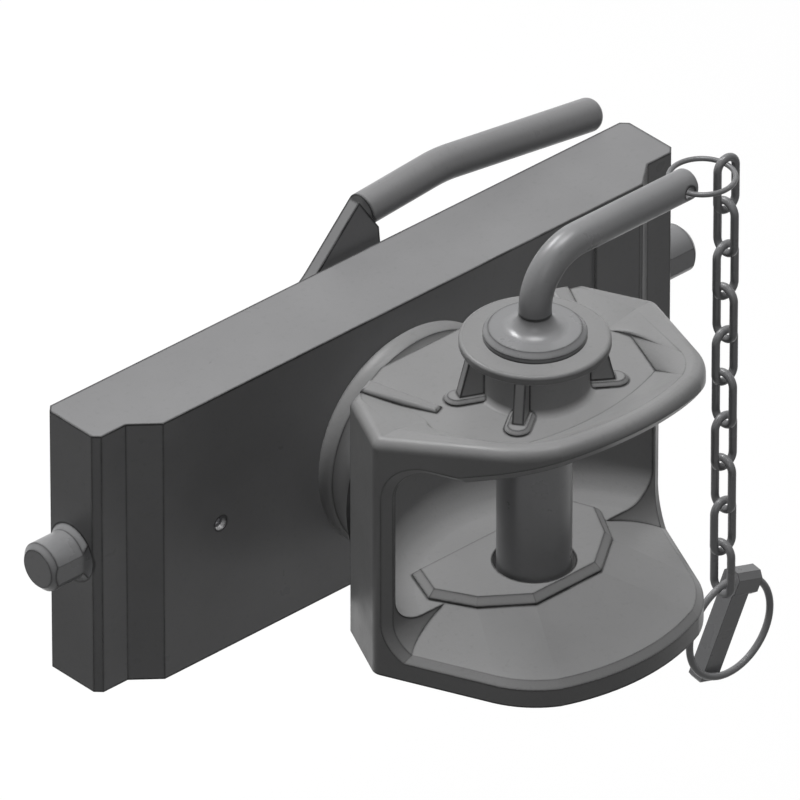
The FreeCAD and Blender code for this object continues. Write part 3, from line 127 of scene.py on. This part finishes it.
# each lamp: its name, place and width, its strength setting, and whether it casts a shadow
Lamp = namedtuple("Lamp", "name place size strength shadow")
LAMPS = (
    Lamp("key_lamp", Vector((-0.1, 1.2, 1.58)), 0.6, "key_strength", False),
    Lamp("top_lamp", Vector((0, -0.1, 2.0)), 0.8, "top_strength", False),
    Lamp("front_lamp", Vector((-1.13, -1.23, 1.1)), 0.8, "front_strength", False),
    Lamp("shadow_lamp", Vector((0.1, 0.1, 2.0)), 1.6, "shadow_strength", True),
)

FLOOR_RADIUS = 14
FLOOR_SIDES = 96
# how much light the floor gives back, and how bright the camera sees it without any
FLOOR_TONE = 0.13
FLOOR_GLOW = 0.86
# the camera's sensor in millimetres, and how far it sees in metres
SENSOR_WIDTH = 36
CLIP_END = 100


class HitchFinishes(bpy.types.PropertyGroup):
    """Colours and surface of the steels."""
    paint: FloatVectorProperty(
        name="Paint", description="Colour of the painted carriage and lever",
        subtype="COLOR", size=3, min=0, max=1, default=(0.205, 0.205, 0.208))
    casting: FloatVectorProperty(
        name="Casting", description="Colour of the painted jaw casting",
        subtype="COLOR", size=3, min=0, max=1, default=(0.215, 0.215, 0.216))
    bright: FloatVectorProperty(
        name="Machined steel", description="Colour of pins, nut and handle",
        subtype="COLOR", size=3, min=0, max=1, default=(0.215, 0.216, 0.22))
    wire: FloatVectorProperty(
        name="Plated wire", description="Colour of the chain, the rings and the linch pin",
        subtype="COLOR", size=3, min=0, max=1, default=(0.185, 0.186, 0.19))
    spring: FloatVectorProperty(
        name="Spring steel", description="Colour of springs, clips and small screws",
        subtype="COLOR", size=3, min=0, max=1, default=(0.16, 0.16, 0.168))
    bronze: FloatVectorProperty(
        name="Bronze", description="Colour of bushes and thrust washer",
        subtype="COLOR", size=3, min=0, max=1, default=(0.5, 0.33, 0.14))
    # width of the painted dark edge lines and of the painted shade in creases
    edge_width: FloatProperty(
        name="Edge width", description="How far the wear reaches in from an edge",
        subtype="DISTANCE", default=2.0 * MM, min=0)
    grain: FloatProperty(
        name="Grain", description="Height of the grain, as a share of each finish's own",
        subtype="FACTOR", default=1, min=0)


class HitchPlate(bpy.types.PropertyGroup):
    """Bare plate on the carriage's front face."""
    left: FloatProperty(
        name="Left edge", description="Distance of the plate's left edge from the middle",
        subtype="DISTANCE", default=108 * MM)
    width: FloatProperty(
        name="Width", description="Width of the plate", subtype="DISTANCE", default=26 * MM, min=0)
    height: FloatProperty(
        name="Height", description="Height of the plate", subtype="DISTANCE", default=104 * MM, min=0)
    thickness: FloatProperty(
        name="Thickness", description="How far the plate stands proud",
        subtype="DISTANCE", default=1.3 * MM, min=0)
    bevel: FloatProperty(
        name="Edge round", description="Rounding of the plate's edges",
        subtype="DISTANCE", default=0.35 * MM, min=0)


class HitchThreads(bpy.types.PropertyGroup):
    """Thread on the swivel shaft's end."""
    radius: FloatProperty(
        name="Radius", description="Distance of the ridge's middle from the shaft's axis",
        subtype="DISTANCE", default=12 * MM, min=0)
    end_gap: FloatProperty(
        name="Plain end", description="Length without thread at the shaft's end",
        subtype="DISTANCE", default=2 * MM, min=0)
    pitch: FloatProperty(
        name="Pitch", description="Rise of one turn", subtype="DISTANCE", default=1.0 * MM, min=0.0001)
    depth: FloatProperty(
        name="Depth", description="Height of the ridge", subtype="DISTANCE", default=0.45 * MM, min=0)
    steps: IntProperty(
        name="Steps", description="Segments in one turn", default=48, min=8)


class HitchStudio(bpy.types.PropertyGroup):
    """Camera, lamps, floor and background."""
    azimuth: FloatProperty(
        name="Azimuth", description="Direction of the camera round the hitch",
        subtype="ANGLE", default=math.radians(-42.5))
    elevation: FloatProperty(
        name="Elevation", description="Height angle of the camera",
        subtype="ANGLE", default=math.radians(33.3))
    distance: FloatProperty(
        name="Distance", description="Distance of the camera", subtype="DISTANCE", default=9.0, min=1)
    picture_width: FloatProperty(
        name="Picture width", description="Width of the picture where the hitch stands",
        subtype="DISTANCE", default=0.3367, min=0.1)
    aim_right: FloatProperty(
        name="Aim to the right", description="Where the camera looks, to the right of the block's front",
        subtype="DISTANCE", default=-2.19 * MM)
    aim_up: FloatProperty(
        name="Aim up", description="Where the camera looks, above the block's front",
        subtype="DISTANCE", default=12.75 * MM)
    key_strength: FloatProperty(
        name="Key lamp", description="Power of the soft lamp behind and above", default=29.0, min=0)
    top_strength: FloatProperty(
        name="Top lamp", description="Power of the wide lamp overhead", default=25.0, min=0)
    front_strength: FloatProperty(
        name="Front lamp", description="Power of the weak lamp beside the camera", default=3.5, min=0)
    shadow_strength: FloatProperty(
        name="Shadow lamp", description="Power of the lamp whose shadow falls on the floor",
        default=2.0, min=0)
    floor_drop: FloatProperty(
        name="Floor drop", description="Air between the hitch and the floor, so that its chain hangs free",
        subtype="DISTANCE", default=60 * MM, min=0)
    room_strength: FloatProperty(
        name="Room light", description="Light of the room on matt surfaces", default=0.01, min=0)


def socket_named(sockets, name):
    """The first socket of that name."""
    for one in sockets:
        if one.name == name:
            return one
    raise ValueError(f"no socket named {name}")


class Shading:
    """Short hand for building one material's node tree."""

    def __init__(self, name):
        self.material = bpy.data.materials.new(name)
        self.material.use_nodes = True
        self.tree = self.material.node_tree
        self.shader = self.tree.nodes["Principled BSDF"]
        self.place = self.tree.nodes.new("ShaderNodeTexCoord").outputs["Object"]

    def node(self, kind, settings=None, **inputs):
        """A new node with its settings and its inputs, each a value or another node's output."""
        made = self.tree.nodes.new(kind)
        for key, value in (settings or {}).items():
            setattr(made, key, value)
        for key, value in inputs.items():
            target = made.inputs[int(key[1:])] if key[1:].isdigit() else socket_named(made.inputs, key)
            self.feed(target, value)
        return made

    def feed(self, target, value):
        """Links an output to the target or sets its value."""
        if isinstance(value, bpy.types.NodeSocket):
            self.tree.links.new(value, target)
        else:
            target.default_value = value

    def noise(self, waves, detail=4):
        """Value of a noise of so many waves in a metre."""
        made = self.node("ShaderNodeTexNoise", Vector=self.place, Scale=waves, Detail=detail,
                         Roughness=0.55)
        return made.outputs[0]

    def span(self, value, low, high, to_low, to_high):
        """Maps low..high to to_low..to_high, held at its ends."""
        made = self.node("ShaderNodeMapRange", {"clamp": True}, i0=value, i1=low, i2=high,
                         i3=to_low, i4=to_high)
        return made.outputs[0]

    def times(self, one, other):
        """Product of two values."""
        return self.node("ShaderNodeMath", {"operation": "MULTIPLY"}, i0=one, i1=other).outputs[0]

    def blend(self, share, one, other):
        """Mix of two colours."""
        made = self.node("ShaderNodeMix", {"data_type": "RGBA"}, i0=share, i6=one, i7=other)
        return made.outputs[2]

    def edges(self, width):
        """1 on edges and 0 on flat stretches, read from a rounded normal."""
        rounded = self.node("ShaderNodeBevel", {"samples": EDGE_SAMPLES}, Radius=width).outputs[0]
        true = self.node("ShaderNodeNewGeometry").outputs["Normal"]
        turn = self.node("ShaderNodeVectorMath", {"operation": "DOT_PRODUCT"}, i0=rounded, i1=true)
        return self.span(turn.outputs["Value"], EDGE_FULL, EDGE_END, 1.0, 0.0)


def tint(colour, factor):
    """A colour made lighter or darker, with its alpha."""
    return tuple(min(1.0, part * factor) for part in colour) + (1.0,)


def steel_finish(finish, colour, grain_height, edge_width):
    """A steel with mottled tone, fine grain, uneven gloss, and painted dark edge lines that also paint shade
    into creases.
    """
    shading = Shading(finish.name)
    mottle = shading.span(shading.noise(MOTTLE_WAVES, detail=5), 0.3, 0.7, 0.0, 1.0)
    speck = shading.span(shading.noise(SPECK_WAVES, detail=3), 0.58, 0.75, 0.0, 0.35)
    patch = shading.span(shading.noise(PATCH_WAVES), 0.35, 0.62, 0.7, 1.0)
    # painted dark lines along edges and painted shade in concave creases, a line-drawing look and not wear
    edge_lines_and_crease_shade = shading.times(shading.edges(edge_width), patch)
    tone = shading.blend(mottle, tint(colour, 1 - MOTTLE_SPREAD), tint(colour, 1 + MOTTLE_SPREAD))
    tone = shading.blend(speck, tone, tint(colour, SPECK_TONE))
    tone = shading.blend(edge_lines_and_crease_shade, tone, tint(colour, finish.edge_tone))
    gloss = shading.span(shading.noise(GLOSS_WAVES, detail=5), 0.3, 0.7,
                         finish.roughness - GLOSS_SPREAD, finish.roughness + GLOSS_SPREAD)
    grain = shading.noise(finish.waves, detail=3)
    bump = shading.node("ShaderNodeBump", Strength=0.5, Distance=grain_height, Height=grain)
    shading.feed(shading.shader.inputs["Base Color"], tone)
    shading.feed(shading.shader.inputs["Roughness"], gloss)
    shading.feed(shading.shader.inputs["Normal"], bump.outputs[0])
    shading.shader.inputs["Metallic"].default_value = finish.metallic
    shading.shader.inputs["Specular IOR Level"].default_value = GLOSS_LEVEL
    return shading.material


def dress(nodes, material):
    """Puts the material into every slot of the CAD nodes."""
    for name in nodes:
        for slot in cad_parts[name].material_slots:
            slot.material = material


def mesh_piece(name, mesh, material, body):
    """A finished piece: its mesh in place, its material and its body."""
    piece = bpy.data.objects.new(name, mesh)
    bpy.context.scene.collection.objects.link(piece)
    mesh.materials.clear()
    mesh.materials.append(material)
    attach(piece, body)
    return piece


class HITCH_OT_finish(bpy.types.Operator):
    """Gives every CAD node its steel, paint or bronze"""
    bl_idname = "hitch.finish"
    bl_label = "Finish the steels"

    def execute(self, context):
        settings = context.scene.hitch_finishes
        for finish in FINISHES:
            colour = getattr(settings, finish.colour)
            height = finish.height * settings.grain
            width = settings.edge_width * finish.edge_share
            dress(finish.nodes, steel_finish(finish, colour, height, width))
        return {"FINISHED"}


class HITCH_OT_plate(bpy.types.Operator):
    """Makes the bare plate on the carriage's front face"""
    bl_idname = "hitch.plate"
    bl_label = "Make the plate"

    def execute(self, context):
        sizes = context.scene.hitch_plate
        middle = Vector((
            sizes.left + sizes.width / 2,
            BLOCK_LOW.y - sizes.thickness / 2,
            (BLOCK_LOW.z + BLOCK_HIGH.z) / 2,
        ))
        blank = bmesh.new()
        shape = Matrix.Translation(middle) @ Matrix.Diagonal((sizes.width, sizes.thickness, sizes.height, 1))
        bmesh.ops.create_cube(blank, size=1, matrix=shape)
        bmesh.ops.bevel(blank, geom=blank.edges[:], offset=sizes.bevel, segments=3, profile=0.5,
                        affect="EDGES")
        mesh = bpy.data.meshes.new("bare_plate")
        blank.to_mesh(mesh)
        blank.free()
        mesh_piece("bare_plate", mesh, bpy.data.materials["painted_steel"], "carriage")
        return {"FINISHED"}


def thread_tree(material):
    """Node tree that sweeps a small ridge along a helix about the local Z axis."""
    tree = bpy.data.node_groups.new("thread_ridge", "GeometryNodeTree")
    face = tree.interface
    for name, kind in (("Radius", "NodeSocketFloat"), ("Length", "NodeSocketFloat"),
                       ("Turns", "NodeSocketFloat"), ("Depth", "NodeSocketFloat"),
                       ("Steps", "NodeSocketInt")):
        face.new_socket(name=name, in_out="INPUT", socket_type=kind)
    face.new_socket(name="Geometry", in_out="OUTPUT", socket_type="NodeSocketGeometry")
    ends = tree.nodes.new("NodeGroupInput")
    result = tree.nodes.new("NodeGroupOutput")
    helix = tree.nodes.new("GeometryNodeCurveSpiral")
    ridge = tree.nodes.new("GeometryNodeCurvePrimitiveCircle")
    ridge.inputs["Resolution"].default_value = RIDGE_SIDES
    sweep = tree.nodes.new("GeometryNodeCurveToMesh")
    sweep.inputs["Fill Caps"].default_value = True
    realize = tree.nodes.new("GeometryNodeRealizeInstances")
    finish = tree.nodes.new("GeometryNodeSetMaterial")
    finish.inputs["Material"].default_value = material
    link = tree.links.new
    link(ends.outputs["Radius"], helix.inputs["Start Radius"])
    link(ends.outputs["Radius"], helix.inputs["End Radius"])
    link(ends.outputs["Length"], helix.inputs["Height"])
    link(ends.outputs["Turns"], helix.inputs["Rotations"])
    link(ends.outputs["Steps"], helix.inputs["Resolution"])
    link(ends.outputs["Depth"], ridge.inputs["Radius"])
    link(helix.outputs[0], sweep.inputs["Curve"])
    link(ridge.outputs[0], sweep.inputs["Profile Curve"])
    link(sweep.outputs[0], realize.inputs[0])
    link(realize.outputs[0], finish.inputs["Geometry"])
    link(finish.outputs[0], result.inputs[0])
    return tree


def grown(name, tree, values, place):
    """Mesh that the tree grows from the values, moved to its place."""
    holder = bpy.data.objects.new(name, bpy.data.meshes.new(name))
    bpy.context.scene.collection.objects.link(holder)
    modifier = holder.modifiers.new(name, "NODES")
    modifier.node_group = tree
    for item in tree.interface.items_tree:
        if item.in_out == "INPUT" and item.name in values:
            modifier[item.identifier] = values[item.name]
    graph = bpy.context.evaluated_depsgraph_get()
    mesh = bpy.data.meshes.new_from_object(holder.evaluated_get(graph))
    holder.modifiers.remove(modifier)
    bpy.data.objects.remove(holder)
    if not mesh.polygons:
        raise RuntimeError(f"{name} grew no faces")
    mesh.transform(place)
    mesh.name = name
    return mesh


class HITCH_OT_threads(bpy.types.Operator):
    """Winds the thread on the swivel shaft's end"""
    bl_idname = "hitch.threads"
    bl_label = "Wind the threads"

    def execute(self, context):
        sizes = context.scene.hitch_threads
        steel = bpy.data.materials["machined_steel"]
        length = SHAFT_END - NUT_END - sizes.end_gap
        values = {"Radius": sizes.radius, "Length": length, "Turns": length / sizes.pitch,
                  "Depth": sizes.depth, "Steps": sizes.steps}
        place = Matrix.Translation((0, NUT_END, 0)) @ Matrix.Rotation(-math.pi / 2, 4, "X")
        mesh = grown("shaft_thread", thread_tree(steel), values, place)
        mesh_piece("shaft_thread", mesh, steel, "jaw_swivel")
        return {"FINISHED"}


class HITCH_OT_springs(bpy.types.Operator):
    """Puts merged copies of the pin springs in the place of the CAD ones"""
    bl_idname = "hitch.springs"
    bl_label = "Fit the pin springs"

    def execute(self, context):
        steel = bpy.data.materials["oiled_spring"]
        for side in ("left", "right"):
            node = f"pin_spring_{side}"
            mesh = merged_copy(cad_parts[node])
            piece = mesh_piece(f"pressed_spring_{side}", mesh, steel, "carriage")
            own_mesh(piece)
            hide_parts(node)
        return {"FINISHED"}


def merged_copy(node):
    """Copy of a CAD node's mesh with its loose triangles joined."""
    shape = bmesh.new()
    shape.from_mesh(node.data)
    bmesh.ops.remove_doubles(shape, verts=shape.verts, dist=JOIN_REACH)
    mesh = bpy.data.meshes.new(node.name)
    shape.to_mesh(mesh)
    shape.free()
    mesh.transform(node.matrix_world)
    return mesh


class HITCH_OT_studio(bpy.types.Operator):
    """Sets up the floor, the background, the lamps and the camera"""
    bl_idname = "hitch.studio"
    bl_label = "Set up the studio"

    def execute(self, context):
        studio = context.scene.hitch_studio
        context.scene.view_settings.view_transform = "Standard"
        make_floor(studio.floor_drop)
        make_background(studio.room_strength)
        for lamp in LAMPS:
            make_lamp(lamp, getattr(studio, lamp.strength))
        make_camera(studio)
        return {"FINISHED"}


def rays_that_see_white(tree):
    """1 for camera, glossy and transmission rays."""
    path = tree.nodes.new("ShaderNodeLightPath")
    total = path.outputs["Is Camera Ray"]
    for name in ("Is Glossy Ray", "Is Transmission Ray"):
        larger = tree.nodes.new("ShaderNodeMath")
        larger.operation = "MAXIMUM"
        tree.links.new(total, larger.inputs[0])
        tree.links.new(path.outputs[name], larger.inputs[1])
        total = larger.outputs[0]
    return total


def make_floor(drop):
    """Pale round floor that keeps a faint shadow and sends little light back up."""
    disc = bmesh.new()
    bmesh.ops.create_circle(disc, cap_ends=True, radius=FLOOR_RADIUS, segments=FLOOR_SIDES,
                            matrix=Matrix.Translation((0, 0, CAD_LOW.z - drop)))
    mesh = bpy.data.meshes.new("floor")
    disc.to_mesh(mesh)
    disc.free()
    floor = bpy.data.objects.new("floor", mesh)
    bpy.context.scene.collection.objects.link(floor)
    material = bpy.data.materials.new("pale_floor")
    material.use_nodes = True
    tree = material.node_tree
    shader = tree.nodes["Principled BSDF"]
    shader.inputs["Base Color"].default_value = (FLOOR_TONE, FLOOR_TONE, FLOOR_TONE, 1)
    shader.inputs["Roughness"].default_value = 0.9
    shader.inputs["Specular IOR Level"].default_value = 0
    shader.inputs["Emission Color"].default_value = (1, 1, 1, 1)
    scaled = tree.nodes.new("ShaderNodeMath")
    scaled.operation = "MULTIPLY"
    scaled.inputs[1].default_value = FLOOR_GLOW
    tree.links.new(rays_that_see_white(tree), scaled.inputs[0])
    tree.links.new(scaled.outputs[0], shader.inputs["Emission Strength"])
    mesh.materials.append(material)


def make_background(room_strength):
    """White for the camera and in reflections, a dim even room for matt surfaces."""
    world = bpy.data.worlds.new("white_room")
    world.use_nodes = True
    bpy.context.scene.world = world
    tree = world.node_tree
    background = tree.nodes["Background"]
    background.inputs["Color"].default_value = (1, 1, 1, 1)
    strength = tree.nodes.new("ShaderNodeMapRange")
    strength.inputs["To Min"].default_value = room_strength
    strength.inputs["To Max"].default_value = 1
    tree.links.new(rays_that_see_white(tree), strength.inputs["Value"])
    tree.links.new(strength.outputs[0], background.inputs["Strength"])


def make_lamp(lamp, power):
    """Square soft lamp that faces the middle of the hitch."""
    light = bpy.data.lights.new(lamp.name, "AREA")
    light.shape = "SQUARE"
    light.size = lamp.size
    light.energy = power
    light.use_shadow = lamp.shadow
    holder = bpy.data.objects.new(lamp.name, light)
    bpy.context.scene.collection.objects.link(holder)
    holder.location = lamp.place
    holder.rotation_euler = (-lamp.place).to_track_quat("-Z", "Y").to_euler()


def make_camera(studio):
    """Long lens that looks at the carriage's front face from above its left end."""
    azimuth = studio.azimuth
    elevation = studio.elevation
    back = Vector((
        math.sin(azimuth) * math.cos(elevation),
        -math.cos(azimuth) * math.cos(elevation),
        math.sin(elevation),
    ))
    turn = (-back).to_track_quat("-Z", "Y")
    right = turn @ Vector((1, 0, 0))
    up = turn @ Vector((0, 1, 0))
    aim = Vector((0, BLOCK_LOW.y, 0)) + right * studio.aim_right + up * studio.aim_up
    lens = bpy.data.cameras.new("camera")
    lens.sensor_width = SENSOR_WIDTH
    lens.lens = lens.sensor_width * studio.distance / studio.picture_width
    lens.clip_end = CLIP_END
    camera = bpy.data.objects.new("camera", lens)
    bpy.context.scene.collection.objects.link(camera)
    camera.rotation_mode = "QUATERNION"
    camera.rotation_quaternion = turn
    camera.location = aim + back * studio.distance
    bpy.context.scene.camera = camera


class HITCH_PT_panel(bpy.types.Panel):
    """Sizes, colours and steps of the hitch"""
    bl_idname = "HITCH_PT_panel"
    bl_label = "Towing jaw hitch"
    bl_space_type = "VIEW_3D"
    bl_region_type = "UI"
    bl_category = "Hitch"

    def draw(self, context):
        layout = self.layout
        for group_name, operators in GROUPS:
            box = layout.box()
            group = getattr(context.scene, group_name)
            for name in group.bl_rna.properties.keys():
                if name not in ("rna_type", "name"):
                    box.prop(group, name)
            for operator in operators:
                box.operator(operator)


GROUPS = (
    ("hitch_finishes", ("hitch.finish", "hitch.springs")),
    ("hitch_plate", ("hitch.plate",)),
    ("hitch_threads", ("hitch.threads",)),
    ("hitch_studio", ("hitch.studio",)),
)
PROPERTY_CLASSES = {
    "hitch_finishes": HitchFinishes,
    "hitch_plate": HitchPlate,
    "hitch_threads": HitchThreads,
    "hitch_studio": HitchStudio,
}
CLASSES = tuple(PROPERTY_CLASSES.values()) + (
    HITCH_OT_finish,
    HITCH_OT_plate,
    HITCH_OT_threads,
    HITCH_OT_springs,
    HITCH_OT_studio,
    HITCH_PT_panel,
)


def register():
    """Adds the classes and the settings to the session."""
    for one in CLASSES:
        bpy.utils.register_class(one)
    for name, kind in PROPERTY_CLASSES.items():
        setattr(bpy.types.Scene, name, PointerProperty(type=kind))


def unregister():
    """Takes the settings and the classes out again."""
    for name in PROPERTY_CLASSES:
        delattr(bpy.types.Scene, name)
    for one in reversed(CLASSES):
        bpy.utils.unregister_class(one)


def main():
    """Makes every group of pieces and the stage."""
    register()
    bpy.ops.hitch.finish()
    bpy.ops.hitch.plate()
    bpy.ops.hitch.threads()
    bpy.ops.hitch.springs()
    bpy.ops.hitch.studio()


if __name__ == "__main__":
    main()
